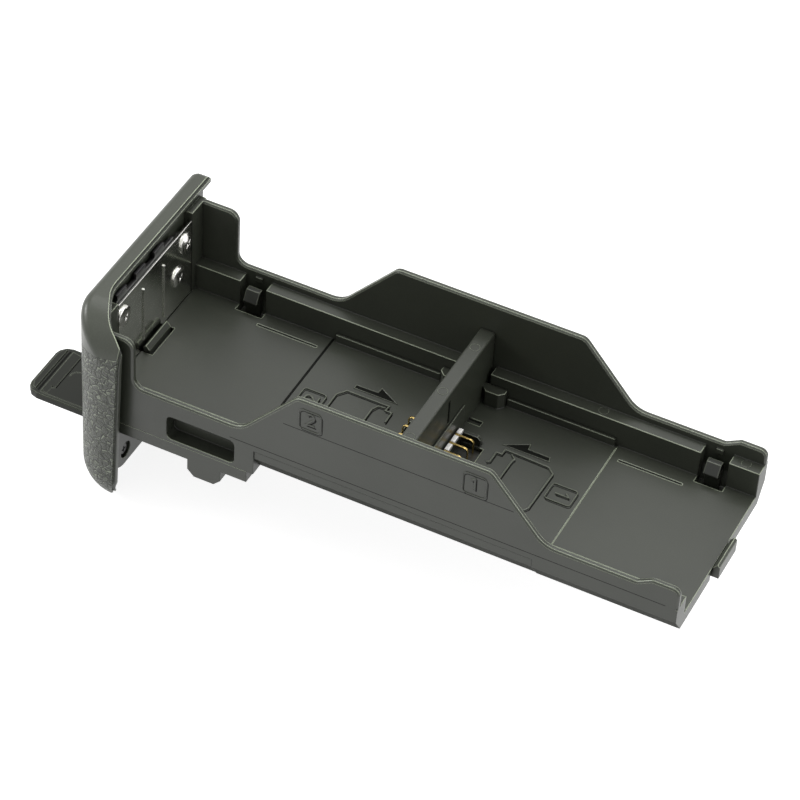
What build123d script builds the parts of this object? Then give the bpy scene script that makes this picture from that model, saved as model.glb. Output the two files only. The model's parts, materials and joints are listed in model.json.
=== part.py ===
"""Slide-in tray for two camera batteries, with its end cap and turn key.

Millimetres, +Z up. The origin is on the tray's flat underside, below the middle of the divider, so the
two battery bays mirror about x = 0. The open end faces +X and the end cap faces -X. The battery sets
the tray: its length gives each bay, its width the distance between the side walls.
"""

import os

from build123d import *

os.makedirs("parts", exist_ok=True)

# The battery, and the room it is given
battery_length = 56.8
battery_width = 38.4
side_play = 0.3

# Tray section
wall_thickness = 1.4
inner_half = battery_width / 2 + side_play
outer_half = inner_half + wall_thickness
floor_top = 2.85
rail_face = 16.85
rail_top = 8.7
near_rail_top = 7.2
bevel_height = 4.0
bevel_depth = 2.75
wall_edge_bevel = 0.35

# Tray length
divider_thickness = 3.1
divider_half = divider_thickness / 2
hook_overhang = 1.0
open_end = divider_half + battery_length - hook_overhang
cap_plane = -62.35
closed_end = -61.15
step_x = -27.95

# Side wall outline, seen from the side: plateau, slopes, low edge and the ears at both ends
low_edge = 10.25
low_edge_radius = 5.0
plateau_top = 23.15
plateau_half = 19.5
plateau_radius = 2.0
slope_foot = 30.9
open_ear_top = 12.0
open_ear_length = 5.4
open_ear_run = 3.0
open_ear_start = open_end - open_ear_length
open_ear_foot = open_ear_start - open_ear_run
ear_small_radius = 0.9
ear_end_radius = 1.5
closed_ear_x = -53.45
closed_ear_top = 22.55
near_ear_top = 21.4
closed_ear_radius = 2.2

# Divider and the cover plate it is moulded with
divider_top = 16.85
divider_side_gap = 0.1
divider_edge_radius = 0.4
divider_foot_chamfer = 1.0
cover_left = -30.75
cover_right = 29.35
cover_thickness = 0.9
seat_gap = 0.05
rail_break_left = -1.7
rail_break_right = 2.5
lip_height = 1.8
lip_thickness = 0.55
lip_spans = ((-29.95, -7.65), (6.4, 28.75))
key_block_top = 6.35
key_block_corner = 1.0
key_block_width = 2.2
key_block_spans = ((-7.25, -divider_half), (divider_half, 6.15))

# Contacts in each bay
contact_pitch = 2.55
contact_count = 4
first_contact_y = -0.2
contact_thickness = 0.4
contact_tip = 6.9
contact_top = 4.85
contact_corner = 0.9
rib_y = 2.35
rib_thickness = 0.55
pocket_far = 3.4
pocket_near = -9.0
pocket_end = 7.7
holder_front = 2.6
holder_back_height = 8.85
holder_back_thickness = 0.35
holder_back_far = 6.8
holder_foot_thickness = 0.35
slot_gap = 0.05
bar_thickness = 0.45
bar_height = 0.8
key_slot_near = 8.7
key_slot_far = 10.0
key_slot_end = 4.4
key_slot_depth = 0.6
face_slot_y = 0.2
face_slot_width = 0.8
face_slot_bottom = 9.3
face_slot_top = 14.9
face_slot_depth = 0.9

# Board, ribbon and the cover under the floor
lower_skin = 0.95
board_thickness = 0.8
board_half_length = 21.0
board_half_width = 12.0
board_gap = 0.3
ribbon_thickness = 0.15
ribbon_near = 4.0
ribbon_far = 12.0
ribbon_bend_x = -31.6
ribbon_start_x = -18.0
ribbon_tail = 2.4
strip_right = 28.95
strip_top = 5.9
strip_depth = 0.9
strip_thickness = 0.7
strip_set_back = 0.15
strip_inner_foot = 17.6
strip_inner_bend = 4.2
strip_outer = outer_half - strip_set_back

# Small screws, all of one head shape
head_sides = 16
shank_sides = 8
head_radius = 1.1
head_height = 0.5
shank_radius = 0.5
recess_half_width = 0.18
recess_half_length = 0.7
recess_depth = 0.25
cover_screw_x = 26.0
cover_screw_y = 15.3
cover_screw_end = 2.6
cover_screws_at = [(-cover_screw_x, cover_screw_y), (cover_screw_x, -cover_screw_y)]

# Battery clips in the far rail
clip_x = 48.4
notch_half_length = 2.85
notch_floor_y = 15.1
clip_half_length = 1.45
clip_back = 17.95
clip_back_gap = 0.25
clip_front = 16.6
clip_nose_tip = 15.5
clip_nose_tip_z = 5.25
clip_nose_top_y = 16.85
clip_top = 7.35
clip_foot_z = 1.7
notch_floor_z = 1.0
clip_window_x = 0.7
clip_tab_height = 1.2
clip_tab_z = 8.9
clip_tab_proud = 0.35
clip_under_z = 4.4

# Sprung catches at both ends of the floor
catch_half_width = 4.1
catch_slot_gap = 0.25
catch_nose = 1.3
catch_lever_bottom = 0.9
catch_lever_top = 1.7
catch_slot_top = 1.85
catch_pivot_z = 0.95
catch_pivot_offset = 13.0
catch_eye_radius = 0.8
catch_pin_radius = 0.4
pin_clearance = 0.05
catch_pin_reach = 1.2
catch_nose_tops = (4.15, 4.4)
catch_face_lean = 0.5
catch_noses = (58.85, -60.75)

# Window in the near wall and the moulded grooves beside the far rail
catch_window = (-46.35, -31.95)
catch_window_low = 0.75
catch_window_high = 6.45
catch_window_depth = 3.0
catch_window_radius = 1.2
groove_spans = ((-45.45, -32.55), (31.0, 44.0))
groove_y = 13.2
groove_width = 0.5
groove_depth = 0.3

# Terminal housing under the closed end
housing_left = -60.65
housing_right = -29.35
housing_bottom = -2.9
housing_skin = 1.0
housing_wall = 1.2
housing_edge_bevel = 0.2
lug_span = (-41.85, -34.85)
lug_bottom = -6.6
lug_chamfer = 1.4
lug_depth = 4.0
terminal_near = 0.0
terminal_width = 13.0
terminal_far = terminal_near + terminal_width
terminal_set_back = 0.35
terminal_length = 5.5
terminal_pin_count = 6
terminal_pitch = 2.05
terminal_slot_half = 0.45
terminal_pin_thickness = 0.4
terminal_pin_height = 0.8
terminal_top = -0.35
terminal_slot_depth = 4.0
terminal_slot_margin = 0.25
housing_screw_x = (-57.0, -33.0)
housing_screw_y = 18.3
housing_screw_end = 4.5
housing_screws_at = [(housing_screw_x[0], -housing_screw_y), (housing_screw_x[1], housing_screw_y)]
housing_cavity_half = 16.4

# End cap
cap_end = -66.25
cap_near = -24.4
cap_far = 25.3
cap_low = -21.3
cap_high = 24.85
cap_front = -62.2
cap_flange_x = -54.6
flange_low_x = -55.8
flange_low_z = -13.9
flange_tip_x = -58.2
cap_far_front = -64.2
cap_sweep_start = (cap_front, -13.0)
cap_sweep_middle = (-58.6, -20.2)
cap_sweep_end_y = -22.9
cap_sweep_radius = 8.0
cap_soft_radius = 9.0
cap_edge_radius = 1.8
rim_lip_length = 0.45
rim_lip_inset = 0.6
cap_inner_bevel = 3.8
cap_wall = 1.5
least_wall = 0.5
cap_floor = -62.95
pad_thickness = 0.55
pad_top_front = 18.7
pad_top_back = 16.2

# Lock: dish in the cap, turning hub, folding key, cam and slider
lock_y = -6.8
lock_z = -2.2
dish_radius = 11.6
dish_depth = 1.5
pad_dish_margin = 0.5
pad_end_y = lock_y - dish_radius - pad_dish_margin
hub_radius = 11.3
hub_thickness = 0.8
shaft_radius = 2.2
running_gap = 0.06
key_half_width = 7.2
key_length = 16.0
key_thickness = 1.4
key_pivot_x = -65.5
key_pivot_drop = 7.0
key_corner = 2.3
key_rim_width = 2.0
key_rim_rise = 0.25
key_groove_width = 0.7
key_groove_depth = 0.35
ear_gap = 0.12
ear_half_height = 0.7
ear_top_x = -66.1
ear_thickness = 0.6
key_pin_radius = 0.4
key_slit_width = 0.4
key_slit_x = 6.6
key_slit_half = 5.2
cam_radius = 3.2
cam_thickness = 0.5
crank_throw = 2.1
crank_share = 0.7071
crank_radius = 0.9
crank_height = 0.9
cam_gap = 0.05
slider_back = -62.3
slider_thickness = 0.6
slider_slot_gap = 0.15
slider_slot_end_gap = 0.3
slider_foot_half = 3.4
slider_foot_low = -3.0
slider_foot_high = 2.2
slider_stem_half = 1.7
slider_bar_low = 19.45
slider_bar_high = 21.4
slider_bar_near = -12.6
slider_bar_far = 9.0
finger_top = 22.7
finger_width = 3.6
finger_ys = (-10.4, -3.4, 3.6)
spigot_radius = 1.2
spigot_length = 1.3
spigot_gap = 0.05

# Plate over the lock, with its screws and bosses
plate_back = -61.6
plate_thickness = 0.4
plate_near = -12.6
plate_far = 15.2
plate_top = 20.75
plate_low = 2.95
plate_rib_ys = (-3.4, 4.4)
plate_rib_low = 5.0
plate_rib_high = 17.9
plate_rib_width = 0.5
plate_rib_proud = 0.2
plate_screws_at = ((12.8, 17.15), (9.9, 10.85), (-10.9, 16.95), (-10.9, 6.2))
plate_screw_length = 1.2
plate_head_radius = 1.45
plate_head_height = 0.55
boss_radius = 1.9

# Frame below the tray that closes the grip's opening
lower_frame_front = -58.05
lower_frame_top = -3.1
lower_frame_low = -15.4
lower_frame_corner = 4.0
lower_frame_gap = 0.1
lower_frame_set_in = 0.5
lock_relief_radius = 4.2
lock_relief_depth = 2.0
lower_frame_half = outer_half - lower_frame_set_in
lower_frame_wall = 1.5
lower_screw_y = 15.9
lower_screw_z = -12.15
lower_screws_at = [(-lower_screw_y, lower_screw_z), (lower_screw_y, lower_screw_z)]
lower_recess_radius = 1.8
lower_recess_depth = 0.9
lower_screw_length = 4.2


def at_x(x):
    """The plane across the tray at x. A sketch there is (y, z) and grows towards +X."""
    return Plane.YZ.offset(x)


def at_y(y):
    """The plane along the tray at y. A sketch there is (x, z) and grows towards -Y."""
    return Plane.XZ.offset(-y)


def at_z(z):
    """The level plane at z. A sketch there is (x, y) and grows towards +Z."""
    return Plane.XY.offset(z)


def slab(across, up):
    """A rectangle over two intervals, in the sketch that is open."""
    with Locations(((across[0] + across[1]) / 2, (up[0] + up[1]) / 2)):
        Rectangle(across[1] - across[0], up[1] - up[0])


def outline(points):
    """A closed, filled outline, in the sketch that is open."""
    Polygon(*points, align=None)


def drill(plane, places, radius, sides, depth):
    """Sinks many-sided holes for screws, which keep the count of facets low."""
    with BuildSketch(plane) as openings:
        with Locations(*places):
            RegularPolygon(radius, sides)
    extrude(openings.sketch, amount=depth, mode=Mode.SUBTRACT)


def add_screws(plane, places, radius, height, length, inward):
    """Screws whose heads lie in the plane. inward is 1 or -1, the way along its normal that they go."""
    with BuildSketch(plane) as heads:
        with Locations(*places):
            RegularPolygon(radius, head_sides)
    extrude(heads.sketch, amount=inward * height)
    with BuildSketch(plane) as shanks:
        with Locations(*places):
            RegularPolygon(shank_radius, shank_sides)
    extrude(shanks.sketch, amount=inward * length)
    with BuildSketch(plane) as recesses:
        with Locations(*places):
            Rectangle(2 * recess_half_length, 2 * recess_half_width)
            Rectangle(2 * recess_half_width, 2 * recess_half_length)
    extrude(recesses.sketch, amount=inward * recess_depth, mode=Mode.SUBTRACT)


def finish(piece, name):
    """Labels a piece and writes its file."""
    piece.part.label = name
    export_step(piece.part, f"parts/{name}.step")


def soften(sketch, corners):
    """Rounds the sketch's corners, each given as (x, y, radius)."""
    for x, y, radius in corners:
        fillet(sketch.vertices().sort_by_distance((x, y))[0], radius=radius)


# The tray frame: floor, rails and side walls in one moulding
near_side = (-outer_half, near_rail_top)
near_step = [(-rail_face, near_rail_top), (-rail_face, floor_top)]
far_step = [(rail_face, floor_top), (rail_face, rail_top), (outer_half, rail_top)]
square_foot = [(outer_half, 0), (-outer_half, 0)]
bevelled_foot = [
    (outer_half, bevel_height),
    (outer_half - bevel_depth, 0),
    (bevel_depth - outer_half, 0),
    (-outer_half, bevel_height),
]
with BuildPart() as tray_frame:
    for wall_y, ear_top in ((outer_half, closed_ear_top), (-inner_half, near_ear_top)):
        with BuildSketch(at_y(wall_y)) as wall:
            outline(
                [
                    (cap_plane, bevel_height),
                    (open_end, bevel_height),
                    (open_end, open_ear_top),
                    (open_ear_start, open_ear_top),
                    (open_ear_foot, low_edge),
                    (slope_foot, low_edge),
                    (plateau_half, plateau_top),
                    (-plateau_half, plateau_top),
                    (-slope_foot, low_edge),
                    (closed_ear_x, low_edge),
                    (closed_ear_x, ear_top),
                    (cap_plane, ear_top),
                ]
            )
            soften(
                wall,
                [
                    (open_end, open_ear_top, ear_end_radius),
                    (open_ear_start, open_ear_top, ear_small_radius),
                    (open_ear_foot, low_edge, ear_small_radius),
                    (slope_foot, low_edge, low_edge_radius),
                    (plateau_half, plateau_top, plateau_radius),
                    (-plateau_half, plateau_top, plateau_radius),
                    (-slope_foot, low_edge, low_edge_radius),
                    (closed_ear_x, low_edge, closed_ear_radius),
                    (closed_ear_x, ear_top, closed_ear_radius),
                ],
            )
        extrude(amount=wall_thickness)
    rims = [
        edge
        for edge in tray_frame.edges().filter_by(Axis.Y, reverse=True)
        if edge.center().Z > bevel_height + wall_edge_bevel and edge.center().X > cap_plane + wall_edge_bevel
    ]
    chamfer(rims, length=wall_edge_bevel)
    with BuildSketch(at_x(step_x)):
        outline([near_side] + near_step + far_step + bevelled_foot)
    extrude(amount=open_end - step_x)
    with BuildSketch(at_x(closed_end)):
        outline([near_side] + near_step + far_step + square_foot)
    extrude(amount=step_x - closed_end)
    # Upright strips that the end cap is joined to
    with BuildSketch(at_x(cap_plane)):
        slab((plate_far + side_play, outer_half), (0, closed_ear_top))
        slab((-outer_half, plate_near - side_play), (0, near_ear_top))
    extrude(amount=closed_end - cap_plane)
    # Room for the cover plate and the foot of its divider
    with BuildSketch(at_z(floor_top)):
        slab((cover_left, cover_right), (-rail_face, rail_face))
    extrude(amount=-cover_thickness, mode=Mode.SUBTRACT)
    with BuildSketch(at_z(floor_top)):
        slab((rail_break_left, rail_break_right), (-inner_half, inner_half))
    extrude(amount=rail_top - floor_top, mode=Mode.SUBTRACT)
    # Room for the lower cover and its upturned side strips
    with BuildSketch(at_z(0)):
        slab((step_x, strip_right), (-outer_half, outer_half))
    extrude(amount=lower_skin, mode=Mode.SUBTRACT)
    with BuildSketch(at_z(lower_skin)):
        slab((step_x, strip_right), (-outer_half, strip_depth - outer_half))
        slab((step_x, strip_right), (outer_half - strip_depth, outer_half))
    extrude(amount=strip_top - lower_skin, mode=Mode.SUBTRACT)
    for side in (-1, 1):
        with BuildSketch(at_x(step_x)):
            outline(
                [
                    (side * (outer_half - strip_depth), lower_skin),
                    (side * (outer_half - strip_depth), strip_inner_bend),
                    (side * strip_inner_foot, lower_skin),
                ]
            )
        extrude(amount=strip_right - step_x, mode=Mode.SUBTRACT)
    # Window through the floor for the board, and the way for its ribbon
    with BuildSketch(at_z(lower_skin)):
        slab(
            (-board_half_length - board_gap, board_half_length + board_gap),
            (-board_half_width - board_gap, board_half_width + board_gap),
        )
        slab(
            (ribbon_bend_x - board_gap, -board_half_length),
            (ribbon_near - board_gap, ribbon_far + board_gap),
        )
    extrude(amount=floor_top - cover_thickness - lower_skin, mode=Mode.SUBTRACT)
    with BuildSketch(at_z(0)):
        slab(
            (ribbon_bend_x - board_gap, ribbon_bend_x + board_gap + ribbon_thickness),
            (ribbon_near - board_gap, ribbon_far + board_gap),
        )
    extrude(amount=floor_top - cover_thickness, mode=Mode.SUBTRACT)
    # Notches in the far rail and floor for the battery clips, and the small tab above each
    for side in (-1, 1):
        with BuildSketch(at_x(side * clip_x - notch_half_length)):
            outline(
                [
                    (notch_floor_y, notch_floor_z),
                    (clip_back + clip_back_gap, notch_floor_z),
                    (inner_half, bevel_height),
                    (inner_half, rail_top),
                    (notch_floor_y, rail_top),
                ]
            )
        extrude(amount=2 * notch_half_length, mode=Mode.SUBTRACT)
        with BuildSketch(at_y(inner_half)):
            slab(
                (side * clip_x - clip_window_x, side * clip_x + clip_window_x),
                (clip_tab_z - clip_tab_height, clip_tab_z),
            )
        extrude(amount=clip_tab_proud)
    # Slots under the floor for the end catches, open at the floor's ends
    for nose, direction in zip(catch_noses, (1, -1)):
        pivot_x = nose - direction * catch_pivot_offset
        slot_end = pivot_x - direction * (catch_eye_radius + catch_slot_gap)
        with BuildSketch(at_z(0)):
            slab(
                sorted((slot_end, nose + direction)),
                (-catch_half_width - catch_slot_gap, catch_half_width + catch_slot_gap),
            )
        extrude(amount=catch_slot_top, mode=Mode.SUBTRACT)
        with Locations(Location((pivot_x, 0, catch_pivot_z), (90, 0, 0))):
            Cylinder(
                catch_pin_radius + pin_clearance,
                2 * (catch_half_width + catch_slot_gap + catch_pin_reach),
                mode=Mode.SUBTRACT,
            )
    with BuildSketch(at_z(0)):
        slab(
            (closed_end, catch_noses[1] + catch_nose + catch_slot_gap + catch_face_lean),
            (-catch_half_width - catch_slot_gap, catch_half_width + catch_slot_gap),
        )
    extrude(amount=floor_top, mode=Mode.SUBTRACT)
    # Window in the near wall and the grooves beside the far rail
    with BuildSketch(at_y(-outer_half)) as window:
        slab(catch_window, (catch_window_low, catch_window_high))
        fillet(window.vertices(), radius=catch_window_radius)
    extrude(amount=-catch_window_depth, mode=Mode.SUBTRACT)
    with BuildSketch(at_z(floor_top)):
        for groove in groove_spans:
            slab(groove, (groove_y - groove_width / 2, groove_y + groove_width / 2))
    extrude(amount=-groove_depth, mode=Mode.SUBTRACT)
    # Holes for the screws from below
    drill(at_z(0), cover_screws_at, shank_radius, shank_sides, floor_top)
    drill(at_z(0), housing_screws_at, shank_radius, shank_sides, housing_screw_end)
finish(tray_frame, "tray_frame")

# The plate over the board, moulded with the divider, the lips and the two keying blocks
with BuildPart() as contact_cover:
    with BuildSketch(at_z(floor_top - cover_thickness)):
        slab((cover_left + seat_gap, cover_right - seat_gap), (seat_gap - rail_face, rail_face - seat_gap))
    extrude(amount=cover_thickness)
    with BuildSketch(at_x(-divider_half)) as divider:
        slab((divider_side_gap - inner_half, inner_half - divider_side_gap), (floor_top, divider_top))
        chamfer(divider.vertices().group_by(Axis.Y)[0], length=divider_foot_chamfer)
    extrude(amount=divider_thickness)
    fillet(contact_cover.edges().filter_by(Axis.Y).group_by(Axis.Z)[-1], radius=divider_edge_radius)
    with BuildSketch(at_z(floor_top)):
        for lip in lip_spans:
            slab(lip, (rail_face - seat_gap - lip_thickness, rail_face - seat_gap))
    extrude(amount=lip_height)
    for block in key_block_spans:
        with BuildSketch(at_z(floor_top)) as key_block:
            slab(block, (rail_face - seat_gap - key_block_width, rail_face - seat_gap))
            chamfer(key_block.vertices().group_by(Axis.Y)[0], length=key_block_corner)
        extrude(amount=key_block_top - floor_top)
    with BuildSketch(at_z(floor_top)):
        for direction in (-1, 1):
            slab(sorted((direction * divider_half, direction * pocket_end)), (pocket_near, pocket_far))
    extrude(amount=-cover_thickness, mode=Mode.SUBTRACT)
    with BuildSketch(at_z(floor_top)):
        slab((divider_half, key_slot_end), (key_slot_near, key_slot_far))
    extrude(amount=-key_slot_depth, mode=Mode.SUBTRACT)
    with BuildSketch(at_z(face_slot_bottom)):
        slab(
            (divider_half - face_slot_depth, divider_half),
            (face_slot_y - face_slot_width / 2, face_slot_y + face_slot_width / 2),
        )
    extrude(amount=face_slot_top - face_slot_bottom, mode=Mode.SUBTRACT)
    drill(at_z(0), cover_screws_at, shank_radius, shank_sides, cover_screw_end)
finish(contact_cover, "contact_cover")

# One contact set in each bay: holder, blades and clamp bar
board_top = lower_skin + board_thickness
contact_ys = [first_contact_y - n * contact_pitch for n in range(contact_count)]
ledge_top = contact_top - bar_height
for bay, direction in enumerate((1, -1), start=1):
    with BuildPart() as holder:
        with BuildSketch(at_z(board_top)):
            slab(
                sorted((direction * (divider_half + seat_gap), direction * (pocket_end - seat_gap))),
                (pocket_near + seat_gap, pocket_far - seat_gap),
            )
        extrude(amount=holder_foot_thickness)
        with BuildSketch(at_z(board_top)):
            slab(
                sorted((direction * (divider_half + seat_gap), direction * holder_front)),
                (pocket_near + seat_gap, pocket_far - seat_gap),
            )
        extrude(amount=ledge_top - board_top)
        with BuildSketch(at_z(floor_top)):
            slab(
                sorted(
                    (
                        direction * (divider_half + seat_gap),
                        direction * (divider_half + holder_back_thickness),
                    )
                ),
                (pocket_near + seat_gap, holder_back_far),
            )
        extrude(amount=holder_back_height - floor_top)
        with BuildSketch(at_y(rib_y + rib_thickness / 2)) as rib:
            slab(
                sorted((direction * (divider_half + seat_gap), direction * contact_tip)),
                (board_top, contact_top),
            )
            soften(rib, [(direction * contact_tip, contact_top, contact_corner)])
        extrude(amount=rib_thickness)
        with BuildSketch(at_z(board_top)):
            for y in contact_ys:
                slab(
                    sorted((direction * (divider_half + holder_back_thickness), direction * pocket_end)),
                    (y - contact_thickness / 2 - slot_gap, y + contact_thickness / 2 + slot_gap),
                )
        extrude(amount=contact_top - board_top, mode=Mode.SUBTRACT)
    finish(holder, f"contact_holder_{bay}")

    with BuildPart() as blades:
        for y in contact_ys:
            with BuildSketch(at_y(y + contact_thickness / 2)) as blade:
                slab(
                    sorted((direction * (divider_half + holder_back_thickness), direction * contact_tip)),
                    (board_top, contact_top),
                )
                soften(blade, [(direction * contact_tip, contact_top, contact_corner)])
            extrude(amount=contact_thickness)
    finish(blades, f"contact_blades_{bay}")

    with BuildPart() as clamp_bar:
        with BuildSketch(at_z(ledge_top)):
            for y, next_y in zip([rib_y] + contact_ys, contact_ys + [pocket_near]):
                slab(
                    sorted((direction * (holder_front - bar_thickness), direction * holder_front)),
                    (
                        next_y + contact_thickness / 2 + slot_gap,
                        y - rib_thickness / 2 - slot_gap,
                    ),
                )
        extrude(amount=bar_height)
    finish(clamp_bar, f"contact_bar_{bay}")

# The board under the contacts, and the ribbon from it to the output terminals
with BuildPart() as circuit_board:
    with BuildSketch(at_z(lower_skin)):
        slab((-board_half_length, board_half_length), (-board_half_width, board_half_width))
    extrude(amount=board_thickness)
finish(circuit_board, "circuit_board")

with BuildPart() as ribbon:
    with BuildSketch(at_y(ribbon_far)):
        outline(
            [
                (ribbon_start_x, board_top),
                (ribbon_start_x, board_top + ribbon_thickness),
                (ribbon_bend_x, board_top + ribbon_thickness),
                (ribbon_bend_x, terminal_top + ribbon_thickness),
                (ribbon_bend_x - ribbon_tail, terminal_top + ribbon_thickness),
                (ribbon_bend_x - ribbon_tail, terminal_top),
                (ribbon_bend_x + ribbon_thickness, terminal_top),
                (ribbon_bend_x + ribbon_thickness, board_top),
            ]
        )
    extrude(amount=ribbon_far - ribbon_near)
finish(ribbon, "power_ribbon")

# The cover under the floor, with an upturned strip along each side
with BuildPart() as lower_cover:
    with BuildSketch(at_x(step_x + seat_gap)):
        outline(
            [
                (strip_outer, strip_top - seat_gap),
                (strip_outer, bevel_height),
                (strip_outer - bevel_depth, 0),
                (bevel_depth - strip_outer, 0),
                (-strip_outer, bevel_height),
                (-strip_outer, strip_top - seat_gap),
                (strip_thickness - strip_outer, strip_top - seat_gap),
                (strip_thickness - strip_outer, strip_inner_bend),
                (-strip_inner_foot, lower_skin),
                (strip_inner_foot, lower_skin),
                (strip_outer - strip_thickness, strip_inner_bend),
                (strip_outer - strip_thickness, strip_top - seat_gap),
            ]
        )
    extrude(amount=strip_right - step_x - 2 * seat_gap)
    drill(at_z(0), cover_screws_at, head_radius, head_sides, head_height)
    drill(at_z(0), cover_screws_at, shank_radius, shank_sides, lower_skin)
finish(lower_cover, "lower_cover")

with BuildPart() as cover_screws:
    add_screws(at_z(0), cover_screws_at, head_radius, head_height, cover_screw_end, 1)
finish(cover_screws, "cover_screws")

# The terminal housing under the closed end, and what it holds
with BuildPart() as terminal_housing:
    with BuildSketch(at_z(housing_bottom)):
        slab((housing_left, housing_right), (-outer_half, outer_half))
    extrude(amount=-housing_bottom)
    chamfer(terminal_housing.edges().group_by(Axis.Z)[0], length=housing_edge_bevel)
    with BuildSketch(at_y(lug_depth - outer_half)) as lug:
        slab(lug_span, (lug_bottom, housing_bottom + housing_skin))
        chamfer(lug.vertices().group_by(Axis.Y)[0], length=lug_chamfer)
    extrude(amount=lug_depth)
    with BuildSketch(at_z(0)):
        slab(
            (housing_left + housing_wall, housing_right - housing_wall),
            (-housing_cavity_half, housing_cavity_half),
        )
        slab(
            (housing_left, housing_left + housing_wall),
            (-catch_half_width - catch_slot_gap, catch_half_width + catch_slot_gap),
        )
    extrude(amount=housing_bottom + housing_skin, mode=Mode.SUBTRACT)
    with BuildSketch(at_z(housing_bottom + housing_skin)):
        slab((housing_right - 2 * housing_wall, housing_right), (terminal_near, terminal_far))
    extrude(amount=terminal_top - housing_bottom - housing_skin, mode=Mode.SUBTRACT)
    drill(at_z(housing_bottom), housing_screws_at, head_radius, head_sides, head_height)
    drill(at_z(housing_bottom), housing_screws_at, shank_radius, shank_sides, -housing_bottom)
finish(terminal_housing, "terminal_housing")

with BuildPart() as housing_screws:
    housing_screw_length = housing_screw_end - housing_bottom
    add_screws(at_z(housing_bottom), housing_screws_at, head_radius, head_height, housing_screw_length, 1)
finish(housing_screws, "housing_screws")

terminal_front = housing_right - terminal_set_back
terminal_floor = housing_bottom + housing_skin
first_pin_y = (terminal_near + terminal_far - (terminal_pin_count - 1) * terminal_pitch) / 2
pin_ys = [first_pin_y + n * terminal_pitch for n in range(terminal_pin_count)]
with BuildPart() as output_block:
    with BuildSketch(at_z(terminal_floor)):
        slab(
            (terminal_front - terminal_length, terminal_front),
            (terminal_near + seat_gap, terminal_far - seat_gap),
        )
    extrude(amount=terminal_top - terminal_floor)
    with BuildSketch(at_x(terminal_front)):
        for y in pin_ys:
            slab(
                (y - terminal_slot_half, y + terminal_slot_half),
                (terminal_floor + terminal_slot_margin, terminal_top - terminal_slot_margin),
            )
    extrude(amount=-terminal_slot_depth, mode=Mode.SUBTRACT)
finish(output_block, "output_block")

terminal_middle = (terminal_floor + terminal_top) / 2
with BuildPart() as output_pins:
    with BuildSketch(at_x(terminal_front - terminal_slot_depth)):
        for y in pin_ys:
            slab(
                (y - terminal_pin_thickness / 2, y + terminal_pin_thickness / 2),
                (terminal_middle - terminal_pin_height / 2, terminal_middle + terminal_pin_height / 2),
            )
    extrude(amount=terminal_slot_depth - terminal_set_back)
finish(output_pins, "output_pins")

# Battery clips, each on a round foot in its notch
clip_mid = (clip_front + clip_back) / 2
for bay, direction in enumerate((1, -1), start=1):
    with BuildPart() as clip:
        with BuildSketch(at_x(direction * clip_x - clip_half_length)):
            outline(
                [
                    (clip_front, clip_foot_z),
                    (clip_front, clip_under_z),
                    (clip_nose_tip, clip_nose_tip_z),
                    (clip_nose_top_y, clip_top),
                    (clip_back, clip_top),
                    (clip_back, clip_foot_z),
                ]
            )
            with Locations((clip_mid, clip_foot_z)):
                Circle((clip_back - clip_front) / 2)
        extrude(amount=2 * clip_half_length)
    finish(clip, f"battery_clip_{bay}")

# End catches, each a lever on a pin under the floor
for bay, direction in enumerate((1, -1), start=1):
    nose_x = catch_noses[bay - 1]
    nose_top = catch_nose_tops[bay - 1]
    pivot_x = nose_x - direction * catch_pivot_offset
    with BuildPart() as catch:
        with BuildSketch(at_y(catch_half_width)):
            outline(
                [
                    (pivot_x, catch_lever_bottom),
                    (nose_x, catch_lever_bottom),
                    (nose_x, nose_top - catch_face_lean),
                    (nose_x - direction * catch_face_lean, nose_top),
                    (nose_x - direction * catch_nose, nose_top - 2 * catch_face_lean),
                    (nose_x - direction * catch_nose, catch_lever_top),
                    (pivot_x, catch_lever_top),
                ]
            )
            with Locations((pivot_x, catch_pivot_z)):
                Circle(catch_eye_radius)
                Circle(catch_pin_radius + pin_clearance, mode=Mode.SUBTRACT)
        extrude(amount=2 * catch_half_width)
    finish(catch, f"end_catch_{bay}")

    catch_pin_length = 2 * (catch_half_width + catch_slot_gap + catch_pin_reach - seat_gap)
    with BuildPart() as catch_pin:
        with Locations(Location((pivot_x, 0, catch_pivot_z), (90, 0, 0))):
            Cylinder(catch_pin_radius, catch_pin_length)
    finish(catch_pin, f"catch_pin_{bay}")


def cap_block(inset, ease, size):
    """The end cap's outer form, drawn in by inset, with its four soft edges eased by fillet or chamfer."""
    low, high = cap_low + inset, cap_high - inset
    near, far = cap_near + inset, cap_far - inset
    end, front = cap_end + inset, cap_flange_x + cap_wall
    with BuildPart() as block:
        with BuildSketch(at_z(low)):
            slab((end, front), (near, far))
        extrude(amount=high - low)
        lengthwise = block.edges().filter_by(Axis.X)
        crosswise = block.edges().filter_by(Axis.Y)
        upright = block.edges().filter_by(Axis.Z)
        soft_edges = [
            upright.sort_by_distance((end, near, 0))[0],
            lengthwise.sort_by_distance((end, near, high))[0],
            lengthwise.sort_by_distance((end, near, low))[0],
            crosswise.sort_by_distance((end, 0, low))[0],
        ]
        ease(soft_edges, size)
    return block.part


def cap_front_cut(set_back):
    """What lies in front of the cap's rim, which sweeps forward into the near flange, moved back."""
    with BuildPart() as front:
        with BuildSketch(at_z(cap_low - cap_wall)) as swept:
            outline(sweep)
            soften(swept, [(*cap_sweep_start, cap_sweep_radius), (*cap_sweep_middle, cap_sweep_radius)])
        extrude(swept.sketch, amount=cap_high - cap_low + 2 * cap_wall)
        with BuildSketch(at_y(cap_sweep_start[1])) as slant:
            outline(flange_slant)
        extrude(slant.sketch, amount=cap_sweep_start[1] - cap_near + cap_wall)
    return front.part.moved(Location((-set_back, 0, 0)))


def soft_block(inset):
    """The cap's form with round soft edges, drawn in by inset."""
    return cap_block(inset, fillet, cap_soft_radius - inset)


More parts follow.
